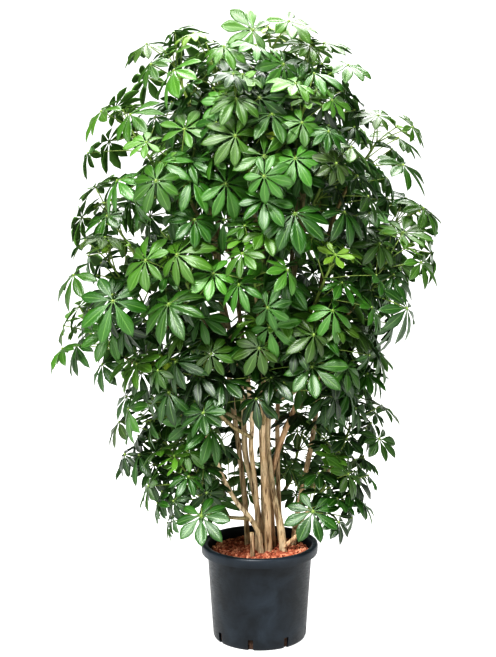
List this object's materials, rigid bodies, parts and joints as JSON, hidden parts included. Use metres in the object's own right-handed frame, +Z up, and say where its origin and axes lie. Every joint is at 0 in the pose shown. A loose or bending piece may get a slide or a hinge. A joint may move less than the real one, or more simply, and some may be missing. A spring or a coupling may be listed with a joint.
{
  "type": "potted umbrella plant",
  "caption": "Tall bushy umbrella plant with bare woody stems and long-stalked leaves of radiating leaflets, in a tapered dark plastic nursery pot with a turned-down lip.",
  "frame": {"origin": "middle of the pot's flat underside, where it stands on the floor", "axes": "+Z up along the pot's axis, front of the plant looks along -Y, +X to the right seen from the front"},
  "size_m": [1.0577, 0.8689, 1.6854],
  "materials": {
    "pot": "matte, scuffed",
    "soil": "loose potting compost",
    "granules": "rough fired clay granules",
    "bark": "smooth pale bark with brown streaks",
    "leaf": "glossy leaf"
  },
  "bodies": {
    "root": {"pot": "pot", "soil": "soil", "granule_dressing": "granules", "cut_stub": "bark", "stem_left": "bark", "stem_left_front": "bark", "stem_middle": "bark", "stem_right_front": "bark", "stem_right": "bark", "stem_behind": "bark", "stem_back": "bark", "stem_back_left": "bark", "stem_back_right": "bark", "stem_low_left": "bark", "leafy_shoot_01": "leaf", "leafy_shoot_02": "leaf", "leafy_shoot_03": "leaf", "leafy_shoot_04": "leaf", "leafy_shoot_05": "leaf", "leafy_shoot_06": "leaf", "leafy_shoot_07": "leaf", "leafy_shoot_08": "leaf", "leafy_shoot_09": "leaf", "leafy_shoot_10": "leaf", "leafy_shoot_11": "leaf", "leafy_shoot_12": "leaf", "leafy_shoot_13": "leaf", "leafy_shoot_14": "leaf", "leafy_shoot_15": "leaf", "leafy_shoot_16": "leaf", "leafy_shoot_17": "leaf", "leafy_shoot_18": "leaf", "leafy_shoot_19": "leaf", "leafy_shoot_20": "leaf", "leafy_shoot_21": "leaf", "leafy_shoot_22": "leaf", "leafy_shoot_23": "leaf", "leafy_shoot_24": "leaf", "leafy_shoot_25": "leaf", "leafy_shoot_26": "leaf", "leafy_shoot_27": "leaf", "leafy_shoot_28": "leaf", "leafy_shoot_29": "leaf", "leafy_shoot_30": "leaf", "leafy_shoot_31": "leaf", "leafy_shoot_32": "leaf", "leafy_shoot_33": "leaf", "leafy_shoot_34": "leaf", "leafy_shoot_35": "leaf", "leafy_shoot_36": "leaf", "leafy_shoot_37": "leaf", "leafy_shoot_38": "leaf", "leafy_shoot_39": "leaf", "leafy_shoot_40": "leaf", "leafy_shoot_41": "leaf"}
  },
  "joints": []
}
